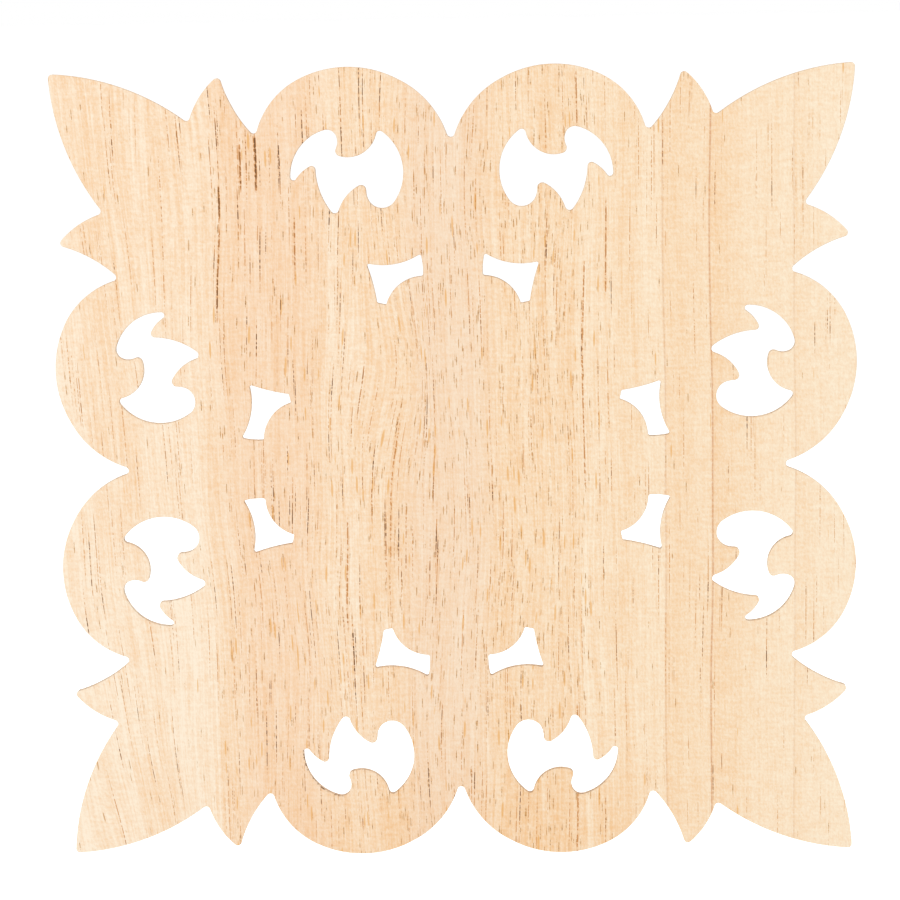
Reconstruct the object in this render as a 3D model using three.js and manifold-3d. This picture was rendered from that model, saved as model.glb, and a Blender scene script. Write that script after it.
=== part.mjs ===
// A square carved wooden applique, pierced through, made from one board of pale hardwood.
// The flat back lies in the plane Y = 0 and faces +Y, the carved front faces -Y, and +Z is up.
// The origin is the centre of the back. Thicknesses and named sizes are in millimetres.
// The plan is one motif, an eighth of the square, mirrored about the axes and the diagonals.
// Its places, arcs and leaf widths are shares of the half width, so the drawing keeps its proportions.

import * as THREE from 'three';
import { mergeVertices } from 'three/addons/utils/BufferGeometryUtils.js';
import Module from 'manifold-3d';

const wasm = await Module();
wasm.setup();

// Driving dimensions
const WIDTH = 200; // across two corner leaf tips
const GROUND = 2; // thickness of the ground and of each pierced edge
const NOTCH_RADIUS = 1; // inside corners of the outline
const TIP_RADIUS = 1; // ends of the leaves
const SCROLL_CREST = 9; // thickness at the roll of a scroll
const SCROLL_COVE = 4.8; // thickness at the hollow inside the roll
const CORNER_LEAF_CREST = 9.5;
const SIDE_LEAF_CREST = 7.5;
const CURL_CREST = 5; // the leaf curls inside a scroll
const PETAL_CREST = 8.5;
const DIAGONAL_PETAL_CREST = 10;
const HUSK_CREST = 7;
const BUTTON_CREST = 12; // the whole thickness of the applique
const BUTTON_RADIUS = 11;
const COLLAR_WIDTH = 4; // the ring about the button
const COLLAR_CREST = 9;
const LEAF_VEIN = 2; // depth of the valley along the middle of a leaf
const LEDGE = 0.8; // flat ground left between a scroll and the outline
const FLARE_TOP = 1.9; // how many times wider a petal piercing is at the button's height

const HALF = WIDTH / 2;
const SINK = 0.6; // how far the slopes of a carved form go under the ground
const FOOT = GROUND / 3; // where a carved form ends inside the board
const CHORD_ERROR = 0.25; // how far a straight facet may stand off its arc
const TURNED_SEGMENTS = 20; // facets round a scroll or the button

// Outline from the middle of a side to the tip of a corner leaf: x, y, and the rise of the arc
// to the next corner, to the left of the way there. A corner with no radius is a smooth joint.
const OUTLINE = [
  { x: 0, y: 0.8, rise: 0.027, radius: NOTCH_RADIUS },
  { x: 0.13, y: 0.978, rise: 0.031, radius: 0 },
  { x: 0.381, y: 0.98, rise: 0.02, radius: 0 },
  { x: 0.488, y: 0.838, rise: -0.012, radius: NOTCH_RADIUS },
  { x: 0.576, y: 0.994, rise: 0.012, radius: TIP_RADIUS },
  { x: 0.655, y: 0.875, rise: 0.029, radius: NOTCH_RADIUS },
  { x: 1.003, y: 1.003, rise: 0.029, radius: TIP_RADIUS },
];

// Piercing between the curls of a scroll: x, y, rise and radius, all as shares
const SCROLL_PIERCING = [
  [0.185, 0.858, -0.037, 0.01],
  [0.295, 0.797, 0.014, 0.013],
  [0.3, 0.858, 0.04, 0.025],
  [0.4, 0.709, -0.011, 0.008],
  [0.34, 0.77, 0.015, 0.01],
  [0.288, 0.633, -0.018, 0.011],
  [0.212, 0.723, 0.014, 0.013],
  [0.179, 0.641, 0.062, 0.038],
];

// Piercing between a scroll and the petals
const PETAL_PIERCING = [
  [0.08, 0.543, -0.015, 0.005],
  [0.218, 0.521, -0.003, 0.005],
  [0.192, 0.42, 0, 0.004],
  [0.169, 0.415, -0.02, 0.004],
  [0.075, 0.486, 0.002, 0.006],
];

// Scroll: a round roll with a cove inside it, about the eye that is pierced
const SCROLL = { x: 0.2545, y: 0.751, radius: 0.26, eye: 0.141 };

// Places across a leaf, from its right edge to its left one, where its facets meet
const WIDE = [-1, -0.8, -0.3, 0, 0.3, 0.8, 1];
const NARROW = [-1, -0.55, 0, 0.55, 1];
const KEELED = [-1, 0, 1];

// Carved leaves, petals, curls and husks: each has the two ends of its spine and the point that
// bends it, half widths at even steps along it, and its height above the ground in shares of its
// crest at the same steps. Those on a line of symmetry come four times, the others eight times.
const LEAVES = {
  cornerLeaf: {
    spine: [[0.37, 0.37], [0.69, 0.69], [0.985, 0.985]],
    widths: [0.03, 0.045, 0.065, 0.1, 0.136, 0.147, 0.126, 0.083, 0.01],
    heights: [0.35, 0.6, 0.8, 0.95, 1, 0.97, 0.85, 0.6, 0.2],
    crest: CORNER_LEAF_CREST,
    steps: 9,
    across: WIDE,
    vein: LEAF_VEIN,
    copies: 4,
  },
  sideLeaf: {
    spine: [[0.445, 0.545], [0.59, 0.79], [0.578, 0.978]],
    widths: [0.012, 0.025, 0.042, 0.066, 0.06, 0.036, 0.01],
    heights: [0.4, 0.75, 0.95, 1, 0.9, 0.65, 0.2],
    crest: SIDE_LEAF_CREST,
    steps: 7,
    across: NARROW,
    vein: LEAF_VEIN,
    copies: 8,
  },
  upperCurl: {
    spine: [[0.235, 0.93], [0.232, 0.835], [0.283, 0.804]],
    widths: [0.03, 0.036, 0.034, 0.012],
    heights: [0.8, 1, 0.9, 0.35],
    crest: CURL_CREST,
    steps: 3,
    across: KEELED,
    vein: 0,
    copies: 8,
  },
  outerCurl: {
    spine: [[0.355, 0.575], [0.377, 0.69], [0.346, 0.758]],
    widths: [0.026, 0.032, 0.024, 0.007],
    heights: [0.8, 1, 0.8, 0.3],
    crest: CURL_CREST,
    steps: 3,
    across: KEELED,
    vein: 0,
    copies: 8,
  },
  lowerCurl: {
    spine: [[0.25, 0.545], [0.262, 0.66], [0.219, 0.71]],
    widths: [0.026, 0.032, 0.024, 0.008],
    heights: [0.8, 1, 0.8, 0.3],
    crest: CURL_CREST,
    steps: 3,
    across: KEELED,
    vein: 0,
    copies: 8,
  },
  petal: {
    spine: [[0.015, 0.08], [0.06, 0.25], [0.07, 0.478]],
    widths: [0.02, 0.045, 0.066, 0.084, 0.088, 0.03],
    heights: [0.6, 0.9, 1, 1, 0.85, 0.4],
    crest: PETAL_CREST,
    steps: 5,
    across: NARROW,
    vein: LEAF_VEIN,
    copies: 8,
  },
  diagonalPetal: {
    spine: [[0.05, 0.05], [0.2, 0.2], [0.4, 0.4]],
    widths: [0.02, 0.06, 0.088, 0.094, 0.07, 0.01],
    heights: [0.6, 0.85, 1, 0.95, 0.8, 0.35],
    crest: DIAGONAL_PETAL_CREST,
    steps: 5,
    across: WIDE,
    vein: LEAF_VEIN,
    copies: 4,
  },
  husk: {
    spine: [[0, 0.43], [0, 0.6], [0, 0.74]],
    widths: [0.03, 0.056, 0.046, 0.022, 0.005],
    heights: [0.6, 1, 1, 0.8, 0.4],
    crest: HUSK_CREST,
    steps: 5,
    across: NARROW,
    vein: LEAF_VEIN,
    copies: 4,
  },
};

const wood = new THREE.MeshStandardMaterial({
  name: 'rubberwood',
  color: 0xf8dcbb,
  roughness: 0.75,
  metalness: 0,
});

// The circle of the arc between two points that stands off their chord by the rise
function circleThrough(from, to, rise) {
  const straight = 1e-4 * HALF;
  const height = Math.abs(rise) < straight ? straight : rise;
  const chord = to.clone().sub(from);
  const left = new THREE.Vector2(-chord.y, chord.x).normalize();
  const radius = (chord.lengthSq() / 4 + height * height) / (2 * Math.abs(height));
  const middle = from.clone().add(to).multiplyScalar(0.5);
  const centre = middle.addScaledVector(left, height - Math.sign(height) * radius);
  return { centre, radius, turn: height < 0 ? 1 : -1 };
}

// The unit direction of travel on a circle at one of its points
function heading(circle, point) {
  const arm = point.clone().sub(circle.centre);
  return new THREE.Vector2(-arm.y, arm.x).normalize().multiplyScalar(circle.turn);
}

// The crossing of two circles that lies nearest to a point
function crossing(centreA, radiusA, centreB, radiusB, near) {
  const line = centreB.clone().sub(centreA);
  const apart = line.length();
  const reach = (apart ** 2 + radiusA ** 2 - radiusB ** 2) / (2 * apart);
  const aside = Math.sqrt(Math.max(radiusA ** 2 - reach ** 2, 0));
  const along = line.normalize();
  const across = new THREE.Vector2(-along.y, along.x);
  const foot = centreA.clone().addScaledVector(along, reach);
  const options = [1, -1].map((side) => foot.clone().addScaledVector(across, side * aside));
  return options.sort((p, q) => p.distanceTo(near) - q.distanceTo(near))[0];
}

// The arc of a given radius that rounds the corner between two sides
function rounding(before, after, corner, radius) {
  const turn = Math.sign(heading(before, corner).cross(heading(after, corner)));
  const centre = crossing(
    before.centre,
    before.radius - radius * turn * before.turn,
    after.centre,
    after.radius - radius * turn * after.turn,
    corner,
  );
  const touch = (side) =>
    side.centre.clone().addScaledVector(centre.clone().sub(side.centre).normalize(), side.radius);
  return { centre, radius, turn, enter: touch(before), leave: touch(after) };
}

// Points along an arc, its start left out, close enough to keep to the chord error
function arcPoints(circle, from, to) {
  const start = from.clone().sub(circle.centre).angle();
  const end = to.clone().sub(circle.centre).angle();
  const sweep = THREE.MathUtils.euclideanModulo((end - start) * circle.turn, 2 * Math.PI);
  const facet = 2 * Math.acos(1 - Math.min(CHORD_ERROR / circle.radius, 0.3));
  const count = Math.max(1, Math.ceil(sweep / facet));
  return Array.from({ length: count }, (_, i) => {
    const angle = start + (circle.turn * sweep * (i + 1)) / count;
    return new THREE.Vector2(
      circle.centre.x + circle.radius * Math.cos(angle),
      circle.centre.y + circle.radius * Math.sin(angle),
    );
  });
}

// A closed contour from its corners, each in millimetres with the rise of the side after it
function contour(corners) {
  const count = corners.length;
  const after = (i) => corners[(i + 1) % count];
  const sides = corners.map((c, i) => circleThrough(c.point, after(i).point, c.rise));
  const ends = corners.map(({ point, radius }, i) => {
    if (radius === 0) return { enter: point, leave: point };
    return rounding(sides[(i + count - 1) % count], sides[i], point, radius);
  });
  return corners.flatMap(({ radius }, i) => [
    ...(radius === 0 ? [] : arcPoints(ends[i], ends[i].enter, ends[i].leave)),
    ...arcPoints(sides[i], ends[i].leave, ends[(i + 1) % count].enter),
  ]);
}

// The eight ways that the motif is laid: turned by quarters, as drawn and mirrored
const quarters = [0, 1, 2, 3].map((k) => new THREE.Matrix4().makeRotationZ((k * Math.PI) / 2));
const mirror = new THREE.Matrix4().makeScale(-1, 1, 1);
const eighths = quarters.flatMap((quarter) => [quarter, quarter.clone().multiply(mirror)]);

function placed(point, matrix) {
  const { x, y } = new THREE.Vector3(point.x, point.y, 0).applyMatrix4(matrix);
  return new THREE.Vector2(x, y);
}

// The whole outline: the drawn corners up to a leaf tip, then back again across the diagonal
function outlinePoints() {
  const drawn = OUTLINE.map(({ x, y, rise, radius }) => ({
    point: new THREE.Vector2(x * HALF, y * HALF),
    rise: rise * HALF,
    radius,
  }));
  const back = drawn
    .slice(1, -1)
    .map(({ point, radius }, i) => ({
      point: new THREE.Vector2(point.y, point.x),
      rise: drawn[i].rise,
      radius,
    }))
    .reverse();
  const quarter = [...drawn, ...back];
  const clockwise = [...quarters].reverse();
  const corners = clockwise.flatMap((turn) =>
    quarter.map((corner) => ({ ...corner, point: placed(corner.point, turn) })),
  );
  return contour(corners).reverse();
}

function piercingPoints(corners) {
  return contour(
    corners.map(([x, y, rise, radius]) => ({
      point: new THREE.Vector2(x * HALF, y * HALF),
      rise: rise * HALF,
      radius: radius * HALF,
    })),
  );
}

// A geometry as a solid with its faces out, whichever way they were wound
function solid(geometry) {
  const bare = new THREE.BufferGeometry();
  bare.setAttribute('position', geometry.getAttribute('position'));
  bare.setIndex(geometry.getIndex());
  const merged = mergeVertices(bare, 1e-4);
  const triVerts = new Uint32Array(merged.getIndex().array);
  const mesh = { numProp: 3, vertProperties: merged.getAttribute('position').array, triVerts };
  const made = new wasm.Manifold(new wasm.Mesh(mesh));
  if (made.volume() > 0) return made;
  for (let i = 0; i < triVerts.length; i += 3) {
    [triVerts[i + 1], triVerts[i + 2]] = [triVerts[i + 2], triVerts[i + 1]];
  }
  return new wasm.Manifold(new wasm.Mesh(mesh));
}

// A plain prism of the outline with all its piercings, higher than any carving
function blank() {
  const shape = new THREE.Shape(outlinePoints());
  for (const drawn of [SCROLL_PIERCING, PETAL_PIERCING]) {
    const points = piercingPoints(drawn);
    for (const eighth of eighths) {
      shape.holes.push(new THREE.Path(points.map((point) => placed(point, eighth))));
    }
  }
  return solid(new THREE.ExtrudeGeometry(shape, { depth: 2 * BUTTON_CREST, bevelEnabled: false }));
}

// A value at a share of the way along a list of evenly spaced ones, on a smooth curve
function along(values, share) {
  const points = values.map((value, i) => new THREE.Vector2(i, value));
  return new THREE.SplineCurve(points).getPoint(share).y;
}

// A leaf lofted along its spine: two pillows that meet in a valley at the middle, or a keel
function leaf({ spine, widths, heights, crest, vein, steps, across }) {
  const ends = spine.map(([x, y]) => new THREE.Vector2(x * HALF, y * HALF));
  const curve = new THREE.QuadraticBezierCurve(...ends);
  const positions = [];
  for (let i = 0; i <= steps; i++) {
    const share = i / steps;
    const centre = curve.getPoint(share);
    const direction = curve.getTangent(share);
    const width = along(widths, share) * HALF;
    const height = along(heights, share);
    const place = (side, z) =>
      positions.push(centre.x - direction.y * side * width, centre.y + direction.x * side * width, z);
    for (const side of across) {
      const pillow = Math.sqrt(1 - side * side) * (crest - GROUND + SINK);
      const valley = side === 0 ? vein : 0;
      place(side, GROUND - SINK + (pillow - valley) * height);
    }
    place(1, FOOT);
    place(-1, FOOT);
  }
  return new THREE.BufferGeometry()
    .setAttribute('position', new THREE.Float32BufferAttribute(positions, 3))
    .setIndex(loftFaces(steps, across.length + 2));
}

// Faces of a tube of closed sections, with both its ends closed by a fan
function loftFaces(steps, around) {
  const faces = [];
  for (let i = 0; i < steps; i++) {
    for (let k = 0; k < around; k++) {
      const here = i * around + k;
      const beside = i * around + ((k + 1) % around);
      faces.push(here, here + around, beside, here + around, beside + around, beside);
    }
  }
  const last = steps * around;
  for (let k = 0; k < around - 2; k++) {
    faces.push(around - 1, k, k + 1);
    faces.push(last + around - 1, last + k + 1, last + k);
  }
  return faces;
}

// A closed or axial profile of radii and thicknesses turned about a point of the plan
function turned(profile, x, y) {
  const points = profile.map(([radius, z]) => new THREE.Vector2(radius, z));
  const lathe = new THREE.LatheGeometry(points, TURNED_SEGMENTS);
  return lathe.rotateX(Math.PI / 2).translate(x, y, 0);
}

function scroll() {
  const outer = SCROLL.radius * HALF - LEDGE;
  const inner = SCROLL.eye * HALF + LEDGE;
  const across = (share) => inner + share * (outer - inner);
  const up = (share) => GROUND + share * (SCROLL_CREST - GROUND);
  const profile = [
    [outer, FOOT],
    [outer, GROUND - SINK],
    [across(0.88), up(0.65)],
    [across(0.66), SCROLL_CREST],
    [across(0.42), up(0.7)],
    [across(0.26), SCROLL_COVE],
    [inner, GROUND - SINK],
    [inner, FOOT],
    [outer, FOOT],
  ];
  return turned(profile, SCROLL.x * HALF, SCROLL.y * HALF);
}

// The round button at the centre and the collar about it, with a groove between them
function button() {
  const groove = PETAL_CREST - SINK;
  const outer = BUTTON_RADIUS + COLLAR_WIDTH;
  const up = (share) => groove + share * (BUTTON_CREST - groove);
  const profile = [
    [0, FOOT],
    [outer, FOOT],
    [outer, groove],
    [BUTTON_RADIUS + 0.6 * COLLAR_WIDTH, COLLAR_CREST],
    [BUTTON_RADIUS, groove],
    [0.9 * BUTTON_RADIUS, up(0.45)],
    [0.6 * BUTTON_RADIUS, up(0.85)],
    [0, BUTTON_CREST],
  ];
  return turned(profile, 0, 0);
}

// What a petal piercing cuts from the forms about it: it widens from the ground to the front
function flare() {
  const points = piercingPoints(PETAL_PIERCING);
  const middle = new THREE.Box2().setFromPoints(points).getCenter(new THREE.Vector2());
  const shape = new THREE.Shape(points);
  const depth = BUTTON_CREST - GROUND;
  const cutter = new THREE.ExtrudeGeometry(shape, { depth, bevelEnabled: false });
  cutter.translate(-middle.x, -middle.y, 0);
  const place = cutter.getAttribute('position');
  for (let i = 0; i < place.count; i++) {
    const scale = THREE.MathUtils.mapLinear(place.getZ(i), 0, depth, 1, FLARE_TOP);
    place.setXY(i, place.getX(i) * scale, place.getY(i) * scale);
  }
  return cutter.translate(middle.x, middle.y, GROUND);
}

// The carved side as a slab of ground with every form on it, cut to the outline and piercings
function carving() {
  const slab = new THREE.BoxGeometry(3 * HALF, 3 * HALF, 2 * GROUND);
  let made = solid(slab).add(solid(button()));
  const lay = (geometry, copies) => {
    for (const matrix of copies === quarters.length ? quarters : eighths) {
      made = made.add(solid(geometry.clone().applyMatrix4(matrix)));
    }
  };
  lay(scroll(), eighths.length);
  for (const form of Object.values(LEAVES)) lay(leaf(form), form.copies);
  for (const eighth of eighths) {
    made = made.subtract(solid(flare().applyMatrix4(eighth)));
  }
  return blank().intersect(made);
}

function geometryOf(manifold) {
  const { vertProperties, triVerts } = manifold.getMesh();
  return new THREE.BufferGeometry()
    .setAttribute('position', new THREE.BufferAttribute(vertProperties, 3))
    .setIndex(new THREE.BufferAttribute(triVerts, 1))
    .toNonIndexed();
}

const applique = new THREE.Mesh(geometryOf(carving()), wood);
applique.name = 'applique';
applique.geometry.computeVertexNormals();
applique.rotation.x = Math.PI / 2;

const group = new THREE.Group();
group.add(applique);

export default group;
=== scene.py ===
"""Carved and pierced rubberwood applique: fine carving, sawn edges and the wood itself.

Everything is in metres in the row frame: the flat back is the plane Y = 0 and faces +Y, the
carving faces -Y, and +Z is up along the grain. The plan is worked in millimetres with x to +X
and y to +Z, and z is the thickness from the back.
"""

import math

import bpy
import numpy as np
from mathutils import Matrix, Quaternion, Vector
from mathutils.geometry import delaunay_2d_cdt
from mathutils.kdtree import KDTree


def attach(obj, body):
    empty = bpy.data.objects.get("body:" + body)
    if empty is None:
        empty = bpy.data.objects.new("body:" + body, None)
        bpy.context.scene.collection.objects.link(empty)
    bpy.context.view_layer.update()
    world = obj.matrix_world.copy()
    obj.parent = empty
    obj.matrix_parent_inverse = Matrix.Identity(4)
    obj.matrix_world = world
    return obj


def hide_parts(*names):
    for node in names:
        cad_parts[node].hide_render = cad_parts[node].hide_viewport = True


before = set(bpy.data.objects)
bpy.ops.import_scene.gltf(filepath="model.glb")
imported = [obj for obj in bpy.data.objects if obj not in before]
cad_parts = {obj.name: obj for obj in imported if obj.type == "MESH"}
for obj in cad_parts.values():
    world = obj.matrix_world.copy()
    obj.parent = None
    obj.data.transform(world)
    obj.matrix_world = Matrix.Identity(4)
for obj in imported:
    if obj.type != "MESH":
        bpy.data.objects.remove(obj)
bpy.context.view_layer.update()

MM = 0.001

# Plan and thicknesses, in millimetres, as the solid has them
HALF = 100.0
GROUND = 2.0
SINK = 0.6  # how far below the ground the foot of a form lies
NOTCH_RADIUS = 1.0
TIP_RADIUS = 1.0
SCROLL_CREST = 9.0
SCROLL_COVE = 4.8
LEDGE = 0.8  # between a scroll's foot and its rim or eye
CORNER_LEAF_CREST = 9.5
SIDE_LEAF_CREST = 7.5
CURL_CREST = 5.0
PETAL_CREST = 8.5
DIAGONAL_PETAL_CREST = 10.0
HUSK_CREST = 7.0
BUTTON_CREST = 12.0
BUTTON_RADIUS = 11.0
COLLAR_WIDTH = 4.0
COLLAR_CREST = 9.0
LEAF_VEIN = 2.0
FLARE_TOP = 1.9  # how many times wider a petal piercing gets at the button's height

# Fineness of the mesh, in millimetres unless it says otherwise
CONTOUR_STEP = 0.5
CONTOUR_TURN = 24  # degrees, the most that an arc turns from point to point
MITRE_LIMIT = 1.3  # how much further than the rest a corner is inset
GRID_STEP = 0.72
VEIN_STEP = 0.8 * GRID_STEP
VEIN_CLEARANCE = 0.6 * GRID_STEP
EDGE_CLEARANCE = 0.55 * GRID_STEP
FRONT_ROUNDING = 0.4
SHOULDER = 0.3  # how far into the front rounding it has its second corner, as a share of it
BACK_ROUNDING = 0.12
SHARP_ANGLE = 50  # degrees between two faces from which their edge is left sharp
SAME_POINT = 1e-5  # points nearer to each other than this are one

# Outline from the middle of a side to a leaf tip, and the two piercings: x, y, rise of the arc
# to the next corner and radius of the corner, all as shares of the half width
OUTLINE = [
    (0, 0.8, 0.027, NOTCH_RADIUS / HALF),
    (0.13, 0.978, 0.031, 0),
    (0.381, 0.98, 0.02, 0),
    (0.488, 0.838, -0.012, NOTCH_RADIUS / HALF),
    (0.576, 0.994, 0.012, TIP_RADIUS / HALF),
    (0.655, 0.875, 0.029, NOTCH_RADIUS / HALF),
    (1.003, 1.003, 0.029, TIP_RADIUS / HALF),
]
SCROLL_PIERCING = [
    (0.185, 0.858, -0.037, 0.01),
    (0.295, 0.797, 0.014, 0.013),
    (0.3, 0.858, 0.04, 0.025),
    (0.4, 0.709, -0.011, 0.008),
    (0.34, 0.77, 0.015, 0.01),
    (0.288, 0.633, -0.018, 0.011),
    (0.212, 0.723, 0.014, 0.013),
    (0.179, 0.641, 0.062, 0.038),
]
PETAL_PIERCING = [
    (0.08, 0.543, -0.015, 0.005),
    (0.218, 0.521, -0.003, 0.005),
    (0.192, 0.42, 0, 0.004),
    (0.169, 0.415, -0.02, 0.004),
    (0.075, 0.486, 0.002, 0.006),
]
SCROLL = {"x": 0.2545, "y": 0.751, "radius": 0.26, "eye": 0.141}


# Contours. Points of the plan are complex numbers.


def circle_through(start, end, rise):
    """Centre, radius and turn of the arc that stands off its chord by the rise."""
    straight = 1e-4 * HALF
    height = rise if abs(rise) > straight else straight
    chord = end - start
    left = 1j * chord / abs(chord)
    radius = (abs(chord) ** 2 / 4 + height**2) / (2 * abs(height))
    centre = (start + end) / 2 + left * (height - math.copysign(radius, height))
    return centre, radius, 1 if height < 0 else -1


def crossing(centre_a, radius_a, centre_b, radius_b, near):
    """The crossing of two circles that lies nearest to a point."""
    line = centre_b - centre_a
    apart = abs(line)
    reach = (apart**2 + radius_a**2 - radius_b**2) / (2 * apart)
    aside = math.sqrt(max(radius_a**2 - reach**2, 0))
    along = line / apart
    foot = centre_a + along * reach
    return min((foot + 1j * along * side * aside for side in (1, -1)), key=lambda p: abs(p - near))


def rounding(before, after, corner, radius):
    """The arc that rounds a corner: its circle, and where it enters and leaves."""

    def heading(circle):
        return 1j * (corner - circle[0]) * circle[2]

    cross = (heading(before).conjugate() * heading(after)).imag
    turn = 1 if cross > 0 else -1
    centre = crossing(
        before[0],
        before[1] - radius * turn * before[2],
        after[0],
        after[1] - radius * turn * after[2],
        corner,
    )

    def touch(side):
        arm = centre - side[0]
        return side[0] + arm / abs(arm) * side[1]

    return (centre, radius, turn), touch(before), touch(after)


def arc_points(circle, start, end):
    """Points along an arc, its start left out."""
    centre, radius, turn = circle
    from_angle = math.atan2((start - centre).imag, (start - centre).real)
    to_angle = math.atan2((end - centre).imag, (end - centre).real)
    sweep = ((to_angle - from_angle) * turn) % (2 * math.pi)
    steps = max(sweep * radius / CONTOUR_STEP, sweep / math.radians(CONTOUR_TURN))
    count = max(1, math.ceil(steps))
    angles = from_angle + turn * sweep * np.arange(1, count + 1) / count
    return centre + radius * np.exp(1j * angles)


def contour(corners):
    """A closed contour in millimetres from corners in shares of the half width."""
    points = [complex(x, y) * HALF for x, y, _, _ in corners]
    count = len(points)
    sides = [
        circle_through(points[i], points[(i + 1) % count], corners[i][2] * HALF)
        for i in range(count)
    ]
    ends = []
    for i in range(count):
        radius = corners[i][3] * HALF
        if radius == 0:
            ends.append((None, points[i], points[i]))
        else:
            ends.append(rounding(sides[i - 1], sides[i], points[i], radius))
    made = []
    for i in range(count):
        circle, enter, leave = ends[i]
        if circle:
            made.append(arc_points(circle, enter, leave))
        made.append(arc_points(sides[i], leave, ends[(i + 1) % count][1]))
    return np.concatenate(made)


def outline_contour():
    """The whole outline, anticlockwise."""
    back = [
        (OUTLINE[i][1], OUTLINE[i][0], OUTLINE[i - 1][2], OUTLINE[i][3])
        for i in range(len(OUTLINE) - 2, 0, -1)
    ]
    quarter = OUTLINE + back
    corners = []
    for k in range(4):
        turn = (-1j) ** k
        for x, y, rise, radius in quarter:
            point = complex(x, y) * turn
            corners.append((point.real, point.imag, rise, radius))
    return contour(corners)[::-1]


def area(points):
    """The area inside a contour, negative if it runs clockwise."""
    return (points.conjugate() * np.roll(points, -1)).imag.sum() / 2


def all_contours():
    """The outline and the sixteen piercings, each with the wood on the left of its travel."""
    made = [outline_contour()]
    for drawn in (SCROLL_PIERCING, PETAL_PIERCING):
        points = contour(drawn)
        for k in range(4):
            for laid in (points, -points.conjugate()):
                made.append(laid * 1j**k)
    return [
        points if (area(points) > 0) == (i == 0) else points[::-1] for i, points in enumerate(made)
    ]


def inset(points, distance):
    """The contour moved into the wood."""
    ahead = np.roll(points, -1) - points
    behind = points - np.roll(points, 1)
    normal = 1j * (ahead / abs(ahead) + behind / abs(behind))
    size = abs(normal)
    return points + normal / size * distance * np.minimum(2 / size, MITRE_LIMIT)


def inside(points, contours):
    """Which points lie in the wood, by counting crossings of the level line through each."""
    starts = np.concatenate(contours)
    ends = np.concatenate([np.roll(c, -1) for c in contours])
    result = np.zeros(len(points), bool)
    levels, row_of = np.unique(np.round(points.imag, 7), return_inverse=True)
    for row, level in enumerate(levels):
        here = np.nonzero(row_of == row)[0]
        crosses = (starts.imag > level) != (ends.imag > level)
        a, b = starts[crosses], ends[crosses]
        at = np.sort(a.real + (level - a.imag) / (b.imag - a.imag) * (b.real - a.real))
        result[here] = np.searchsorted(at, points[here].real) % 2 == 1
    return result


# Carved forms. Each leaf has its spine's two ends and the point that bends it, half widths and
# heights at even steps along it, its crest, how far from the middle its valley reaches in shares
# of its half width, the depth of the valley, how steep its sides are, and its fine cuts.

LEAVES = [
    {  # corner leaf
        "spine": (0.37 + 0.37j, 0.69 + 0.69j, 0.985 + 0.985j),
        "widths": (0.03, 0.045, 0.065, 0.1, 0.136, 0.147, 0.126, 0.083, 0.01),
        "heights": (0.35, 0.6, 0.8, 0.95, 1, 0.97, 0.85, 0.6, 0.2),
        "crest": CORNER_LEAF_CREST,
        "valley": (0.3, LEAF_VEIN),
        "steep": 3.2,
        "cuts": {"count": 9, "sweep": 2.2, "depth": 0.42},
    },
    {  # side leaf
        "spine": (0.445 + 0.545j, 0.59 + 0.79j, 0.578 + 0.978j),
        "widths": (0.012, 0.025, 0.042, 0.066, 0.06, 0.036, 0.01),
        "heights": (0.4, 0.75, 0.95, 1, 0.9, 0.65, 0.2),
        "crest": SIDE_LEAF_CREST,
        "valley": (0.55, LEAF_VEIN),
        "steep": 1.9,
        "cuts": {"count": 6, "sweep": 1.5, "depth": 0.25},
    },
    {  # upper curl
        "spine": (0.235 + 0.93j, 0.232 + 0.835j, 0.283 + 0.804j),
        "widths": (0.03, 0.036, 0.034, 0.012),
        "heights": (0.8, 1, 0.9, 0.35),
        "crest": CURL_CREST,
        "valley": (0.5, 0),
        "steep": 1.4,
    },
    {  # outer curl
        "spine": (0.355 + 0.575j, 0.377 + 0.69j, 0.346 + 0.758j),
        "widths": (0.026, 0.032, 0.024, 0.007),
        "heights": (0.8, 1, 0.8, 0.3),
        "crest": CURL_CREST,
        "valley": (0.5, 0),
        "steep": 1.4,
    },
    {  # lower curl
        "spine": (0.25 + 0.545j, 0.262 + 0.66j, 0.219 + 0.71j),
        "widths": (0.026, 0.032, 0.024, 0.008),
        "heights": (0.8, 1, 0.8, 0.3),
        "crest": CURL_CREST,
        "valley": (0.5, 0),
        "steep": 1.4,
    },
    {  # petal
        "spine": (0.015 + 0.08j, 0.06 + 0.25j, 0.07 + 0.478j),
        "widths": (0.02, 0.045, 0.066, 0.084, 0.088, 0.03),
        "heights": (0.6, 0.9, 1, 1, 0.85, 0.4),
        "crest": PETAL_CREST,
        "valley": (0.55, LEAF_VEIN),
        "steep": 1.9,
        "cuts": {"count": 7, "sweep": 2.6, "depth": 0.3},
    },
    {  # diagonal petal
        "spine": (0.05 + 0.05j, 0.2 + 0.2j, 0.4 + 0.4j),
        "widths": (0.02, 0.06, 0.088, 0.094, 0.07, 0.01),
        "heights": (0.6, 0.85, 1, 0.95, 0.8, 0.35),
        "crest": DIAGONAL_PETAL_CREST,
        "valley": (0.3, LEAF_VEIN),
        "steep": 3.2,
        "cuts": {"count": 7, "sweep": 2.2, "depth": 0.38},
    },
    {  # husk
        "spine": (0.43j, 0.6j, 0.74j),
        "widths": (0.03, 0.056, 0.046, 0.022, 0.005),
        "heights": (0.6, 1, 1, 0.8, 0.4),
        "crest": HUSK_CREST,
        "valley": (0.55, LEAF_VEIN),
        "steep": 1.9,
        "cuts": {"count": 6, "sweep": 1.6, "depth": 0.25},
    },
]
SPINE_SAMPLES = 160
SPINE_SLACK = 0.3  # how far past its spine's ends a leaf may reach, in millimetres
ABSENT = -10.0  # the thickness that a form gives where it isn't
LEAST = GROUND - 0.2  # the least thickness of the board

# How gently two forms meet, in millimetres of height, and a leaf's side and top, as a share
BLEND = 0.5
BUTTON_BLEND = 0.2
PILLOW_BLEND = 0.3

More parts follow.
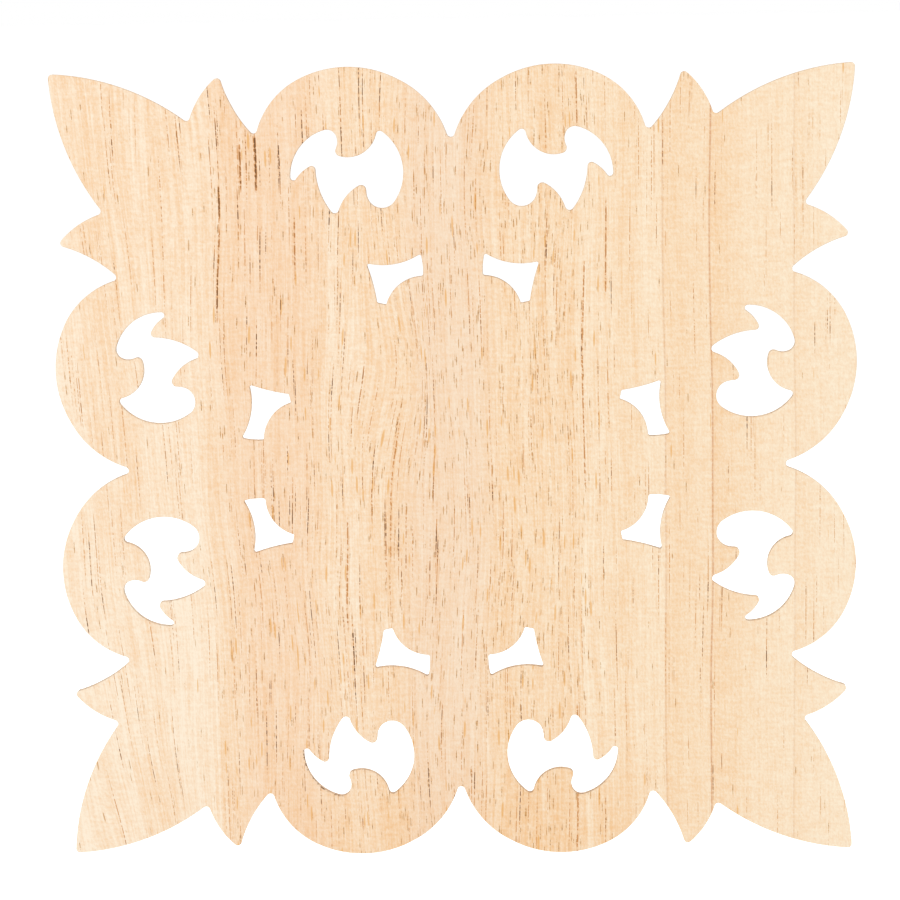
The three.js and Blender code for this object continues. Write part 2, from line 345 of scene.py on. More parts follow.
# How a curl's top and a leaf's valley curve, as powers of the distance from the middle
CURL_POWER = 1.4
VALLEY_POWER = 1.2

# Fine cuts: their width as a share of their distance, the power that makes them sharp, where
# they start and end as shares of the half width, and how they fade out across and at both ends
CUT_WIDTH = 0.36
CUT_POWER = 1.3
CUT_START = 0.25
CUT_END = 0.97
CUT_FADE = 0.2
CUT_END_FADE = 0.15


def along(values, share):
    """Values at shares of the way along evenly spaced ones, on a Catmull-Rom curve."""
    values = np.asarray(values, float)
    place = np.clip(share, 0, 1) * (len(values) - 1)
    at = np.minimum(place.astype(int), len(values) - 2)
    t = place - at
    padded = np.concatenate([values[:1], values, values[-1:]])
    p0, p1, p2, p3 = (padded[at + k] for k in range(4))
    v0, v1 = (p2 - p0) / 2, (p3 - p1) / 2
    cube = (2 * p1 - 2 * p2 + v0 + v1) * t**3
    square = (-3 * p1 + 3 * p2 - 2 * v0 - v1) * t**2
    return cube + square + v0 * t + p1


def on_spine(spine, share):
    a, b, c = spine
    return ((1 - share) ** 2 * a + 2 * share * (1 - share) * b + share**2 * c) * HALF


def heading_of(spine, share):
    a, b, c = spine
    way = (1 - share) * (b - a) + share * (c - b)
    return way / abs(way)


def leaf_height(form, points):
    """Thickness that a leaf gives at points of the plan."""
    spine = form["spine"]
    shares = np.linspace(0, 1, SPINE_SAMPLES)
    centres = on_spine(spine, shares)
    reach = max(form["widths"]) * HALF
    result = np.full(len(points), ABSENT)
    low = min(centres.real) - reach + 1j * (min(centres.imag) - reach)
    high = max(centres.real) + reach + 1j * (max(centres.imag) + reach)
    close = (
        (points.real > low.real)
        & (points.real < high.real)
        & (points.imag > low.imag)
        & (points.imag < high.imag)
    )
    near = points[close]
    if not len(near):
        return result
    nearest = np.abs(near[:, None] - centres[None, :]).argmin(1)
    share = shares[nearest]
    length = abs(spine[2] - spine[0]) * HALF
    for _ in range(3):
        arm = near - on_spine(spine, share)
        way = heading_of(spine, share)
        ahead = (way.conjugate() * arm).real
        share = np.clip(share + ahead / length, 0, 1)
    arm = near - on_spine(spine, share)
    way = heading_of(spine, share)
    beyond = np.abs((way.conjugate() * arm).real)
    side = (way.conjugate() * arm).imag
    width = along(form["widths"], share) * HALF
    across = np.abs(side) / width
    crest = form["crest"] - GROUND + SINK
    steep = form["steep"] * np.maximum(1 - across, 0)
    round_top = np.sqrt(np.maximum(1 - across**2, 0))
    if form["valley"][1] == 0:
        round_top = 1 - across**CURL_POWER
    pillow = crest * -smooth_max(-steep, -round_top, PILLOW_BLEND)
    reach_of_valley, depth = form["valley"]
    valley = depth * np.maximum(1 - across / reach_of_valley, 0) ** VALLEY_POWER
    height = GROUND - SINK + (pillow - valley) * along(form["heights"], share)
    if "cuts" in form:
        height = height - fine_cuts(form, share, across)
    result[close] = np.where((across < 1) & (beyond < SPINE_SLACK), height, ABSENT)
    return result


def fine_cuts(form, share, across):
    """Narrow veins that leave the middle of a leaf and sweep towards its tip."""
    cuts = form["cuts"]
    phase = share * cuts["count"] - np.sqrt(np.clip(across, 0, 1)) * cuts["sweep"]
    off = np.abs(phase - np.round(phase)) * 2
    narrow = np.maximum(1 - off / CUT_WIDTH, 0) ** CUT_POWER
    fade = np.clip(across / CUT_START, 0, 1) * np.clip((CUT_END - across) / CUT_FADE, 0, 1)
    ends = np.clip(share / CUT_END_FADE, 0, 1) * np.clip((CUT_END - share) / CUT_END_FADE, 0, 1)
    return cuts["depth"] * narrow * fade * ends


def smooth_max(a, b, width):
    """The larger of two, rounded where they lie within the width of each other."""
    gap = np.maximum(width - np.abs(a - b), 0)
    return np.maximum(a, b) + gap**2 / (4 * width)


def turned_height(profile, centre, points):
    """Thickness that a turned form gives, its profile smoothed between the given radii."""
    radius = np.abs(points - centre)
    radii, heights = np.array(sorted(profile)).T
    shares = np.interp(radius, radii, np.arange(len(radii)) / (len(radii) - 1))
    made = along(heights, shares)
    return np.where((radius >= radii[0]) & (radius <= radii[-1]), made, ABSENT)


def scroll_profile():
    """Radii and thicknesses of a scroll's roll and cove, from its rim to its eye."""
    outer = SCROLL["radius"] * HALF - LEDGE
    inner = SCROLL["eye"] * HALF + LEDGE

    def across(share):
        return inner + share * (outer - inner)

    def up(share):
        return GROUND + share * (SCROLL_CREST - GROUND)

    return [
        (outer, GROUND - SINK),
        (across(0.97), up(0.33)),
        (across(0.88), up(0.68)),
        (across(0.66), SCROLL_CREST),
        (across(0.42), up(0.7)),
        (across(0.26), SCROLL_COVE),
        (inner, GROUND - SINK),
    ]


def button_profile():
    """Radii and thicknesses of the button and its collar, from the rim to the middle."""
    groove = PETAL_CREST - SINK

    def up(share):
        return groove + share * (BUTTON_CREST - groove)

    return [
        (BUTTON_RADIUS + COLLAR_WIDTH, groove),
        (BUTTON_RADIUS + 0.8 * COLLAR_WIDTH, COLLAR_CREST - 0.25),
        (BUTTON_RADIUS + 0.55 * COLLAR_WIDTH, COLLAR_CREST),
        (BUTTON_RADIUS + 0.25 * COLLAR_WIDTH, COLLAR_CREST - 0.3),
        (BUTTON_RADIUS, groove),
        (0.9 * BUTTON_RADIUS, up(0.45)),
        (0.75 * BUTTON_RADIUS, up(0.7)),
        (0.6 * BUTTON_RADIUS, up(0.86)),
        (0.3 * BUTTON_RADIUS, up(0.97)),
        (0, BUTTON_CREST),
    ]


def flare_height(points):
    """The most that the wood may rise about a petal piercing, which widens towards the front."""
    edge = contour(PETAL_PIERCING)
    middle = complex(
        (edge.real.max() + edge.real.min()) / 2, (edge.imag.max() + edge.imag.min()) / 2
    )
    arm = edge - middle
    order = np.argsort(np.angle(arm))
    turns = np.angle(arm)[order]
    reaches = np.abs(arm)[order]
    away = points - middle
    reach = np.interp(np.angle(away), turns, reaches, period=2 * math.pi)
    scale = np.abs(away) / reach
    return GROUND + (scale - 1) * (BUTTON_CREST - GROUND) / (FLARE_TOP - 1)


def front_height(points):
    """Thickness of the board at points of the plan."""
    low = np.minimum(np.abs(points.real), np.abs(points.imag))
    high = np.maximum(np.abs(points.real), np.abs(points.imag))
    folded = low + 1j * high  # into the eighth that the forms are drawn in
    made = np.full(len(points), GROUND)
    centre = complex(SCROLL["x"], SCROLL["y"]) * HALF
    made = smooth_max(made, turned_height(scroll_profile(), centre, folded), BLEND)
    images = (folded, -folded.conjugate(), high + 1j * low)
    for form in LEAVES:
        for image in images:
            made = smooth_max(made, leaf_height(form, image), BLEND)
    made = smooth_max(made, turned_height(button_profile(), 0, folded), BUTTON_BLEND)
    return np.maximum(-smooth_max(-made, -flare_height(folded), BLEND), LEAST)


# Mesh


def lattice(step):
    """A triangular lattice over the whole plan."""
    rise = step * math.sqrt(3) / 2
    span = HALF * 1.02  # a little past the tips
    rows = np.arange(-span, span, rise)
    columns = np.arange(-span, span, step)
    x, y = np.meshgrid(columns, rows)
    x = x + np.where(np.arange(len(rows)) % 2, step / 2, 0)[:, None]
    return (x + 1j * y).ravel()


def clear_of(points, blockers, distance):
    """Points that stand off all the blockers by the distance."""
    tree = KDTree(len(blockers))
    for i, b in enumerate(blockers):
        tree.insert((b.real, b.imag, 0), i)
    tree.balance()
    kept = [tree.find((p.real, p.imag, 0))[2] > distance for p in points]
    return points[np.array(kept)]


def veins():
    """Points along the middle of each leaf, where the mesh follows the valley."""
    made = []
    for form in LEAVES:
        start, bend, end = form["spine"]
        length = abs(end - start) * HALF
        line = on_spine(form["spine"], np.linspace(0.02, 0.98, int(length / VEIN_STEP)))
        mirrors_itself = bend.real in (0, bend.imag)
        for k in range(4):
            made.append(line * 1j**k)
            if not mirrors_itself:
                made.append(-line.conjugate() * 1j**k)
    return np.concatenate(made)


def triangulate(rings, extra):
    """Triangles over the wood inside the rings, with the extra points among them."""
    boundary = np.concatenate(rings)
    points = np.concatenate([boundary, extra])
    edges, first = [], 0
    for ring in rings:
        count = len(ring)
        edges += [(first + i, first + (i + 1) % count) for i in range(count)]
        first += count
    vectors = [Vector((p.real, p.imag)) for p in points]
    out = delaunay_2d_cdt(vectors, edges, [], 0, SAME_POINT, True)
    source = np.array([ids[0] if ids else -1 for ids in out[3]])
    faces = source[np.array(out[2])]
    only_boundary = (faces < len(boundary)).all(1)
    middles = points[faces[only_boundary]].mean(1)
    keep = ~only_boundary
    keep[only_boundary] = inside(middles, rings)
    return faces[keep]


def build_mesh():
    """Vertices in metres, faces, and which faces lie in the flat back."""
    contours = all_contours()
    deep = [inset(c, FRONT_ROUNDING) for c in contours]
    shoulder = [inset(c, SHOULDER * FRONT_ROUNDING) for c in contours]
    back = [inset(c, BACK_ROUNDING) for c in contours]
    grid = lattice(GRID_STEP)
    grid = grid[inside(grid, contours)]
    lines = veins()
    lines = lines[inside(lines, contours)]
    grid = clear_of(grid, lines, VEIN_CLEARANCE)
    interior = np.concatenate([grid, lines])
    interior = clear_of(interior, np.concatenate(deep), EDGE_CLEARANCE)
    interior = interior[inside(interior, deep)]

    plan, heights = [], []

    def add(points, thickness):
        """Adds vertices and gives the number of the first."""
        plan.append(points)
        heights.append(np.broadcast_to(np.asarray(thickness, float), points.shape))
        return sum(len(p) for p in plan) - len(points)

    edge = np.concatenate(contours)
    edge_height = front_height(edge)
    front_at = add(np.concatenate(deep), front_height(np.concatenate(deep)))
    add(interior, front_height(interior))
    shoulder_drop = FRONT_ROUNDING * (1 - math.sqrt(1 - (1 - SHOULDER) ** 2))
    shoulder_at = add(np.concatenate(shoulder), edge_height - shoulder_drop)
    top_at = add(edge, edge_height - FRONT_ROUNDING)
    foot_at = add(edge, BACK_ROUNDING)
    back_at = add(np.concatenate(back), 0)

    faces = [triangulate(deep, interior) + front_at]
    back_faces = triangulate(back, np.zeros(0, complex)) + back_at
    faces.append(back_faces[:, ::-1])
    first = 0
    for c in contours:
        here = first + np.arange(len(c))
        there = first + np.roll(np.arange(len(c)), -1)
        for upper, lower in (
            (front_at, shoulder_at),
            (shoulder_at, top_at),
            (top_at, foot_at),
            (foot_at, back_at),
        ):
            faces.append(np.stack([lower + here, lower + there, upper + there], 1))
            faces.append(np.stack([lower + here, upper + there, upper + here], 1))
        first += len(c)
    plan = np.concatenate(plan)
    heights = np.concatenate(heights)
    vertices = np.stack([plan.real, -heights, plan.imag], 1) * MM
    faces = np.concatenate(faces)
    return vertices, faces, (vertices[faces, 1] == 0).all(1)


def make_piece():
    vertices, faces, flat = build_mesh()
    mesh = bpy.data.meshes.new("applique_wood")
    mesh.from_pydata(vertices.tolist(), [], faces.tolist())
    mesh.shade_smooth()
    mesh.set_sharp_from_angle(angle=math.radians(SHARP_ANGLE))
    mesh.polygons.foreach_set("use_smooth", ~flat)
    piece = bpy.data.objects.new("applique_wood", mesh)
    bpy.context.scene.collection.objects.link(piece)
    return piece


# Wood


class Graph:
    """Short ways to lay the nodes of a material."""

    def __init__(self, material):
        material.use_nodes = True
        self.nodes = material.node_tree.nodes
        self.links = material.node_tree.links
        self.nodes.clear()

    def node(self, kind, inputs=None, **settings):
        made = self.nodes.new(kind)
        for name, value in settings.items():
            setattr(made, name, value)
        for key, value in (inputs or {}).items():
            self.put(made.inputs[key], value)
        return made

    def put(self, socket, value):
        if isinstance(value, bpy.types.NodeSocket):
            self.links.new(value, socket)
        else:
            socket.default_value = value

    def math(self, operation, a, b=0.0):
        return self.node("ShaderNodeMath", {0: a, 1: b}, operation=operation).outputs[0]

    def add(self, a, b):
        return self.math("ADD", a, b)

    def times(self, a, b):
        return self.math("MULTIPLY", a, b)

    def smooth(self, value, low, high, to_low=0.0, to_high=1.0):
        """A smooth step from one level at low to another at high."""
        inputs = {"Value": value, "From Min": low, "From Max": high}
        inputs |= {"To Min": to_low, "To Max": to_high}
        made = self.node("ShaderNodeMapRange", inputs, interpolation_type="SMOOTHSTEP")
        return made.outputs["Result"]

    def band(self, value, low, high, soft):
        """One between low and high, and nothing beyond a soft edge."""
        rise = self.smooth(value, low - soft, low + soft)
        fall = self.smooth(value, high - soft, high + soft, 1.0, 0.0)
        return self.times(rise, fall)

    def ramp(self, value, stops):
        """A value between stops, each a place in millimetres and the value there."""
        low, high = stops[0][0], stops[-1][0]
        inputs = {"Value": value, "From Min": low, "From Max": high}
        share = self.node("ShaderNodeMapRange", inputs).outputs[0]
        made = self.node("ShaderNodeValToRGB", {0: share})
        elements = made.color_ramp.elements
        while len(elements) < len(stops):
            elements.new(1.0)
        for element, (place, level) in zip(elements, stops):
            element.position = (place - low) / (high - low)
            element.color = (level, level, level, 1.0)
        return made.outputs["Color"]

    def vector(self, x, y, z):
        return self.node("ShaderNodeCombineXYZ", {0: x, 1: y, 2: z}).outputs[0]

    def noise(self, vector, detail=2.0, roughness=0.5):
        """Noise about zero."""
        inputs = {"Vector": vector, "Scale": 1.0, "Detail": detail, "Roughness": roughness}
        made = self.node("ShaderNodeTexNoise", inputs)
        return self.add(made.outputs["Fac"], -0.5)

    def mix(self, share, a, b, blend="MIX"):
        made = self.node("ShaderNodeMix", data_type="RGBA", blend_type=blend)
        self.put(made.inputs["Factor"], share)
        self.put(made.inputs["A"], a)
        self.put(made.inputs["B"], b)
        return made.outputs["Result"]


def colour(red, green, blue):
    """A colour as the eye reads it, 0 to 255, made linear and opaque."""

    def linear(value):
        value /= 255
        return value / 12.92 if value <= 0.04045 else ((value + 0.055) / 1.055) ** 2.4

    return (linear(red), linear(green), linear(blue), 1.0)


# Colours of the wood
CREAM = colour(245, 229, 206)
TAN = colour(235, 190, 141)
ROSY = colour(238, 200, 172)
GREYISH = colour(232, 204, 184)
RING_END = colour(190, 112, 40)
FLECK = colour(226, 164, 76)
DASH = colour(190, 134, 58)
DOT = colour(108, 78, 34)
CHAIN = colour(202, 130, 42)
DARK_VESSEL = colour(72, 36, 8)
SCORCH = colour(110, 76, 44)
END_GRAIN = colour(206, 158, 112)
# The dark brown of the sawn walls is partly burn from the saw and partly painted shade
SAW_BURN_AND_SHADE = colour(130, 92, 62)
YELLOWER = (1.0, 1.0, 0.972, 1.0)  # what the right side is multiplied by
ALL_LEVEL = (0.695, 0.695, 0.695, 1.0)  # what all of it is multiplied by

# Growth rings, told by tone from cream, 0, to tan, 1: place across the board in millimetres
# and tone. A step is where one ring ends. A ramp holds 32 at most.
RINGS = [
    (-105, 0.05),
    (-94, 0.12),
    (-89, 0.45),
    (-82, 0.4),
    (-78, 0.15),
    (-68, 0.12),
    (-60, 0.4),
    (-54, 0.7),
    (-40, 0.6),
    (-33, 0.5),
    (-24, 0.45),
    (-15, 0.65),
    (-6, 0.5),
    (2, 0.45),
    (10, 0.65),
    (18, 0.6),
    (28, 0.6),
    (33, 0.3),
    (38, 0.5),
    (41.8, 0.3),
    (42.4, 0.6),
    (45, 0.35),
    (52.8, 0.2),
    (53.2, 0.7),
    (64.2, 0.3),
    (64.8, 0.75),
    (71, 0.45),
    (76, 0.27),
    (85.3, 0.12),
    (85.8, 0.42),
    (90, 0.06),
    (105, 0),
]

# Lines where a ring ends: place across and strength, and half the width of a line
RING_LINES = [(53.0, 0.45), (64.6, 0.85), (85.6, 0.3)]
RING_LINE_REACH = 0.12

# Long dark vessels that stand out: place across, lowest and highest point, and strength, and
# half the width of such a vessel
LONG_VESSELS = [
    (-57.5, 38, 61, 0.9),
    (-57.5, 64, 72, 1.6),
    (-52.6, 71, 82, 1.0),
    (-49.6, 71, 85, 1.6),
    (-40.5, 48, 64, 0.8),
    (-26.5, -42, -13, 0.7),
    (-15.5, -24, 12, 0.6),
    (30.5, 82, 99, 0.8),
    (30, -103, -62, 0.7),
    (32.5, -6, 52, 0.7),
    (38.5, 44, 67, 0.8),
]
LONG_VESSEL_REACH = 0.1

# The other vessels, by kind: width and length in millimetres of the cell that each lies in, its
# reach as a share of the cell, and a seed of its own
CHAINS = (0.5, 50.0, 0.36, 11.3)
HAIRS = (0.45, 26.0, 0.34, 77.7)
DASHES = (0.5, 6.0, 0.38, 51.9)
FLECKS = (1.2, 11.0, 0.3, 3.7)

# Zones of the board, seen from behind: first and last place across, in millimetres, and how soft
# their ends are
MIDDLE = (-62.0, 37.0, 6.0)
CENTRE = (-12.0, 33.0, 6.0)
LEFT_OF_CENTRE = (-60.0, -20.0, 6.0)
ROSY_RING = (-57.0, -35.0, 6.0)
GREYISH_RING = (-12.0, 8.0, 5.0)
UNEVEN_RING = (-90.0, -64.0, 6.0)

# Where the zones left and right of the middle set in, and the depth that marks of the back fade
# out over, in millimetres
LEFT_ONSET = (-58.0, -72.0)
RIGHT_ONSET = (34.0, 44.0)
BACK_ONSET = (-2.5, -0.5)

# How the grain runs: its lean at the left, what the low end adds to it, the height in millimetres
# that this starts at, how far it bulges left of the middle, and its slope through the board
LEAN = 0.075
LOW_LEAN = 0.09
LOW_LEAN_START = -30.0
BULGE = -3.5
SLOPE = 0.6


class Board:
    """The wood: places in it in millimetres, its zones, and noise and vessels along its grain.

    Rows is 1 where vessels stand in rows at the ends, and beads breaks a vessel into beads.
    """

    def __init__(self, g):
        self.g = g
        place = g.node("ShaderNodeTexCoord").outputs["Object"]
        parts = g.node("ShaderNodeSeparateXYZ", {0: place})
        self.across = g.times(parts.outputs["X"], -1 / MM)  # to the right, seen from the back
        self.deep = g.times(parts.outputs["Y"], 1 / MM)  # 0 at the back and negative before it
        self.up = g.times(parts.outputs["Z"], 1 / MM)
        self.grain = self.along_grain()
        self.middle = g.band(self.across, *MIDDLE)
        self.centre = g.band(self.across, *CENTRE)
        self.left_of_centre = g.band(self.across, *LEFT_OF_CENTRE)
        self.left = g.smooth(self.across, *LEFT_ONSET)
        self.right = g.smooth(self.across, *RIGHT_ONSET)
        self.near_back = g.smooth(self.deep, *BACK_ONSET)
        self.rows = g.smooth(self.noise(0.35, 0.004), 0.0, 0.12)
        self.beads = g.smooth(self.noise(1.4, 1.4), -0.09, 0.04, 0.3, 1.0)

    def noise_over(self, place, wide, long, detail=1.0, roughness=0.5):
        """Noise over a place, its rates given per millimetre across and along the grain."""
        g = self.g
        skew = g.add(g.times(place, wide), g.times(self.up, 0.31 * long))
        vector = g.vector(skew, g.add(g.times(self.deep, wide), 0.37), g.times(self.up, long))
        return g.noise(vector, detail, roughness)

    def noise(self, wide, long, detail=1.0, roughness=0.5):
        return self.noise_over(self.grain, wide, long, detail, roughness)

    def along_grain(self):
        """The place across that the grain at a point comes from.

        The grain leans at the left, most at its low end, bulges near the middle and runs straight
        at the right. It slopes through the board, so that the rings wander over the carving.
        """
        g, across, up = self.g, self.across, self.up
        sway = self.noise_over(across, 0.035, 0.012)
        sway = g.times(sway, g.smooth(across, 15.0, 50.0, 9.0, 2.0))
        lean = g.times(up, g.smooth(across, -100.0, -35.0, LEAN, 0.0))
        below = g.math("MINIMUM", g.add(up, -LOW_LEAN_START), 0.0)
        low_lean = g.times(below, g.band(across, -92.0, -70.0, 8.0))
        lean = g.add(lean, g.times(low_lean, LOW_LEAN))
        bulge = g.times(g.band(across, -22.0, -8.0, 7.0), g.band(up, 12.0, 36.0, 20.0))
        level = g.add(g.add(across, lean), g.add(sway, g.times(bulge, BULGE)))
        return g.add(level, g.times(self.deep, SLOPE))

    def vessels(self, kind, presence):
        """Vessels cut open along the grain, 1 at the middle of each and 0 between them."""
        g = self.g
        width, length, reach, seed = kind
        x = g.add(g.times(self.grain, 1 / width), seed)
        vector = g.vector(x, g.times(self.deep, 1 / width), g.times(self.up, 1 / length))
        inputs = {"Vector": vector, "Scale": 1.0, "Randomness": 1.0}
        cells = g.node("ShaderNodeTexVoronoi", inputs)
        chance = g.node("ShaderNodeSeparateColor", {0: cells.outputs["Color"]}).outputs["Red"]
        there = g.math("LESS_THAN", chance, presence)
        return g.times(g.smooth(cells.outputs["Distance"], reach, 0.0), there)


def tone_of(board, fibres, speckle, ripple):
    """Tone from cream, 0, to tan, 1, by growth rings, with fine stripes and mottling."""
    g, across, up = board.g, board.across, board.up
    stripes = g.times(board.noise(0.4, 0.006, detail=4.0, roughness=0.7), 1.7)
    stripes = g.add(stripes, g.times(fibres, 2.0))
    calm = g.smooth(across, 32.0, 58.0, 1.0, 0.42)
    tone = g.add(g.ramp(board.grain, RINGS), g.times(stripes, calm))
    tone = g.add(tone, g.times(speckle, 2.2))
    tone = g.add(tone, ripple)
    low_end = g.times(g.smooth(up, -65.0, -95.0), g.band(across, -50.0, 50.0, 10.0))
    tone = g.add(tone, g.times(low_end, 0.35))
    uneven = g.add(g.smooth(up, 20.0, 70.0), g.times(g.band(up, -76.0, -20.0, 8.0), -1.0))
    uneven = g.times(g.times(uneven, 0.3), g.band(across, *UNEVEN_RING))
    return g.add(tone, uneven)


def plain_wood(board, tone):
    """The wood between the vessels: its tone, two tinted rings and more yellow to the right."""
    g = board.g
    wood = g.mix(g.add(g.times(tone, 0.5), 0.2), CREAM, TAN)
    wood = g.mix(g.times(g.band(board.grain, *ROSY_RING), 0.2), wood, ROSY)
    wood = g.mix(g.times(g.band(board.grain, *GREYISH_RING), 0.25), wood, GREYISH)
    return g.mix(g.smooth(board.across, -50.0, 60.0), wood, YELLOWER, "MULTIPLY")


def with_ring_lines(board, wood):
    g = board.g
    for place, strength in RING_LINES:
        line = g.band(board.grain, place - RING_LINE_REACH, place + RING_LINE_REACH, 0.25)
        line = g.times(line, g.add(g.times(board.beads, 0.6), 0.4))
        line = g.times(line, g.add(g.times(board.near_back, 0.7), 0.3))
        wood = g.mix(g.times(line, strength), wood, RING_END)
    return wood


def share_at_ends(board):
    """The share of vessels left and right of the middle, where they stand in rows."""
    g = board.g
    at_left = g.times(board.left, g.add(g.times(board.rows, 0.6), 0.5))
    fewer = g.times(board.right, g.smooth(board.across, 52.0, 74.0, 1.0, 0.3))
    return g.add(at_left, g.times(fewer, g.add(g.times(board.rows, 0.7), 0.4)))


def chained_vessels(board, at_ends):
    """Vessels in long chains: how strong they are, and how dark."""
    g, left_of_centre = board.g, board.left_of_centre
    paler = g.times(g.add(board.centre, g.add(board.left, board.right)), -0.6)
    darkness = g.add(board.noise(0.9, 0.09), g.times(g.add(left_of_centre, paler), 0.05))
    darkness = g.smooth(darkness, 0.0, 0.2)
    presence = g.add(g.add(board.middle, at_ends), g.times(left_of_centre, -0.25))
    chains = board.vessels(CHAINS, presence)
    presence = g.add(g.times(left_of_centre, 0.5), g.times(board.right, 0.25))
    hairs = board.vessels(HAIRS, presence)
    chains = g.math("MAXIMUM", chains, g.times(hairs, 0.8))
    chains = g.times(chains, g.times(board.beads, g.add(g.times(darkness, 0.7), 0.5)))
    for place, low, high, strength in LONG_VESSELS:
        line = g.band(board.grain, place - LONG_VESSEL_REACH, place + LONG_VESSEL_REACH, 0.3)
        line = g.times(g.times(line, g.band(board.up, low, high, 2.0)), board.near_back)
        beaded = g.times(line, g.times(g.add(board.beads, 0.2), strength))
        chains = g.math("MAXIMUM", chains, beaded)
        darkness = g.math("MAXIMUM", darkness, g.times(line, strength))
    return chains, darkness


def with_vessels(board, wood):
    g = board.g
    at_ends = share_at_ends(board)
    chains, darkness = chained_vessels(board, at_ends)
    presence = g.add(g.times(board.middle, 0.3), g.times(at_ends, 0.12))
    dashes = board.vessels(DASHES, g.add(g.times(board.centre, 0.4), presence))
    dashes = g.times(dashes, g.add(board.beads, 0.15))
    dots = g.times(g.smooth(board.noise(2.4, 2.4), 0.06, 0.16), g.smooth(dashes, 0.3, 0.6))
    presence = g.add(g.times(board.middle, 0.35), g.times(board.rows, 0.1))
    flecks = board.vessels(FLECKS, presence)
    wood = g.mix(g.smooth(flecks, 0.1, 0.4, 0.0, 0.65), wood, FLECK)
    wood = g.mix(g.smooth(dashes, 0.1, 0.5, 0.0, 0.75), wood, DASH)
    wood = g.mix(g.times(dots, 0.6), wood, DOT)
    wood = g.mix(g.smooth(chains, 0.05, 0.4, 0.0, 0.85), wood, CHAIN)
    return g.mix(g.times(g.smooth(chains, 0.3, 0.6), darkness), wood, DARK_VESSEL)


def with_scorched_nicks(board, wood):
    """The saw left scorched nicks on the back, along an edge of the lower left piercing."""
    g, across, up = board.g, board.across, board.up
    start, end = (complex(*corner[:2]) * HALF for corner in SCROLL_PIERCING[2:4])
    centre, radius, _ = circle_through(start, end, SCROLL_PIERCING[2][2] * HALF)
    aside = g.math("POWER", g.add(across, centre.real), 2.0)
    above = g.math("POWER", g.add(up, centre.imag), 2.0)
    outside = g.add(g.math("SQRT", g.add(aside, above)), -radius)
    dark_marks = g.times(g.band(outside, -0.1, 0.25, 0.15), g.band(up, -85.5, -73.0, 1.5))
    on_back = g.smooth(board.deep, -1.0, -0.5)
    dark_marks = g.times(dark_marks, g.times(g.smooth(across, -29.0, -32.0), on_back))
    dark_marks = g.times(dark_marks, g.smooth(board.noise(1.4, 1.4), -0.03, 0.08))
    return g.mix(dark_marks, wood, SCORCH)


def with_sawn_walls(board, wood):
    """End grain darkened, and sawn walls darkened by burnt nicks and by painted shade, and then
    the height of the nicks, for the bump.
    """
    g = board.g
    true_normal = g.node("ShaderNodeNewGeometry").outputs["True Normal"]
    normal = g.node("ShaderNodeSeparateXYZ", {0: true_normal})
    wall = g.smooth(g.math("ABSOLUTE", normal.outputs["Y"]), 0.35, 0.12)
    end_grain = g.smooth(g.math("ABSOLUTE", normal.outputs["Z"]), 0.3, 0.95)
    nick = g.noise(
        g.vector(g.times(board.across, 1.9), g.times(board.deep, 0.5), g.times(board.up, 1.9))
    )
    # Painted shade and saw burn: every wall, and any face as steep, is mixed a fifth to over a
    # half of the way to the dark brown, unevenly
    dark_marks = g.times(wall, g.smooth(nick, -0.04, 0.1, 0.2, 0.55))
    wood = g.mix(g.times(end_grain, 0.2), wood, END_GRAIN)
    return g.mix(dark_marks, wood, SAW_BURN_AND_SHADE), g.times(g.add(nick, 0.5), wall)


def make_wood():
    material = bpy.data.materials.new("rubberwood")
    g = Graph(material)
    board = Board(g)
    fibres = board.noise(2.4, 0.06, detail=2.0)
    speckle = board.noise(2.3, 1.3, detail=2.0, roughness=0.7)
    place = g.vector(g.times(board.across, 0.3), g.add(board.deep, 0.4), g.times(board.up, 1.5))
    ripple = g.noise(place, detail=1.0)

    wood = plain_wood(board, tone_of(board, fibres, speckle, ripple))
    wood = with_ring_lines(board, wood)
    wood = with_vessels(board, wood)
    wood = with_scorched_nicks(board, wood)
    wood, wall_height = with_sawn_walls(board, wood)
    wood = g.mix(1.0, wood, ALL_LEVEL, "MULTIPLY")

    height = g.add(g.times(speckle, 0.08), g.times(ripple, 0.04))
    height = g.add(height, g.times(wall_height, 0.15))
    bump = g.node("ShaderNodeBump", {"Strength": 0.5, "Distance": MM, "Height": height})
    roughness = g.add(g.times(fibres, 0.15), 0.72)
    inputs = {"Base Color": wood, "Roughness": roughness, "Normal": bump.outputs[0]}
    shader = g.node("ShaderNodeBsdfPrincipled", inputs)
    shader.inputs["Specular IOR Level"].default_value = 0.3
    out = g.node("ShaderNodeOutputMaterial")
    g.links.new(shader.outputs[0], out.inputs["Surface"])
    return material


piece = make_piece()
piece.data.materials.append(make_wood())
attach(piece, "root")
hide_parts("applique")


# Stage, lights and camera, in metres

FLOOR_LEVEL = -0.26
FLOOR_REACH = 30.0
FLOOR_WHITE = (0.93, 0.93, 0.93, 1)
FLOOR_GLOW = 0.12
LIGHTS = {  # place, width and power, each aimed at the origin
    "key_back": ((0.5, 1.3, 1.0), 0.9, 14),
    "key_front": ((-1.0, -1.1, 1.1), 0.7, 16),
}
CAMERA_PLACE = (-0.025, 0.7495, 0.1216)
CAMERA_AIM = (0.00146, 0, 0.00443)
CAMERA_ROLL = -0.96  # degrees
LENS = 120  # millimetres, on a sensor 36 wide


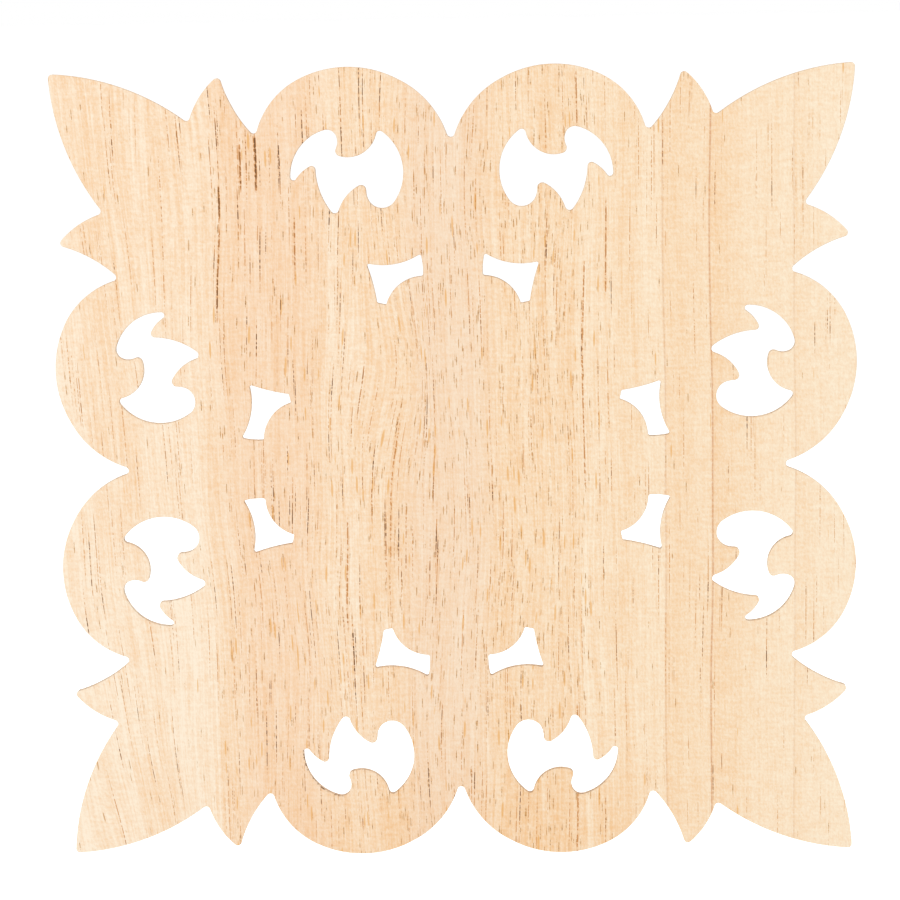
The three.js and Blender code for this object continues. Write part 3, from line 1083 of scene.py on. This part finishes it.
def make_floor():
    mesh = bpy.data.meshes.new("floor")
    reach = FLOOR_REACH
    corners = [(-reach, -reach), (reach, -reach), (reach, reach), (-reach, reach)]
    mesh.from_pydata([(x, y, FLOOR_LEVEL) for x, y in corners], [], [(0, 1, 2, 3)])
    floor = bpy.data.objects.new("floor", mesh)
    bpy.context.scene.collection.objects.link(floor)
    material = bpy.data.materials.new("floor_white")
    g = Graph(material)
    shader = g.node("ShaderNodeBsdfPrincipled", {"Base Color": FLOOR_WHITE, "Roughness": 0.9})
    shader.inputs["Emission Color"].default_value = (1, 1, 1, 1)
    shader.inputs["Emission Strength"].default_value = FLOOR_GLOW
    out = g.node("ShaderNodeOutputMaterial")
    g.links.new(shader.outputs[0], out.inputs["Surface"])
    mesh.materials.append(material)


def make_light(name, place, width, power):
    data = bpy.data.lights.new(name, "AREA")
    data.shape = "DISK"
    data.size = width
    data.energy = power
    light = bpy.data.objects.new(name, data)
    light.location = place
    light.rotation_mode = "QUATERNION"
    light.rotation_quaternion = (-Vector(place)).to_track_quat("-Z", "Y")
    bpy.context.scene.collection.objects.link(light)


def make_world():
    world = bpy.data.worlds.new("studio")
    world.use_nodes = True
    background = world.node_tree.nodes["Background"]
    background.inputs["Color"].default_value = (1, 1, 1, 1)
    background.inputs["Strength"].default_value = 1.0
    bpy.context.scene.world = world


def make_camera():
    data = bpy.data.cameras.new("camera")
    data.lens = LENS
    data.sensor_width = 36
    camera = bpy.data.objects.new("camera", data)
    camera.location = CAMERA_PLACE
    camera.rotation_mode = "QUATERNION"
    level = (Vector(CAMERA_AIM) - Vector(CAMERA_PLACE)).to_track_quat("-Z", "Y")
    roll = Quaternion((0, 0, 1), math.radians(CAMERA_ROLL))
    camera.rotation_quaternion = level @ roll
    bpy.context.scene.collection.objects.link(camera)
    bpy.context.scene.camera = camera


make_floor()
make_world()
for name, (place, width, power) in LIGHTS.items():
    make_light(name, place, width, power)
make_camera()
bpy.context.scene.view_settings.view_transform = "Standard"
bpy.context.scene.cycles.max_bounces = 4
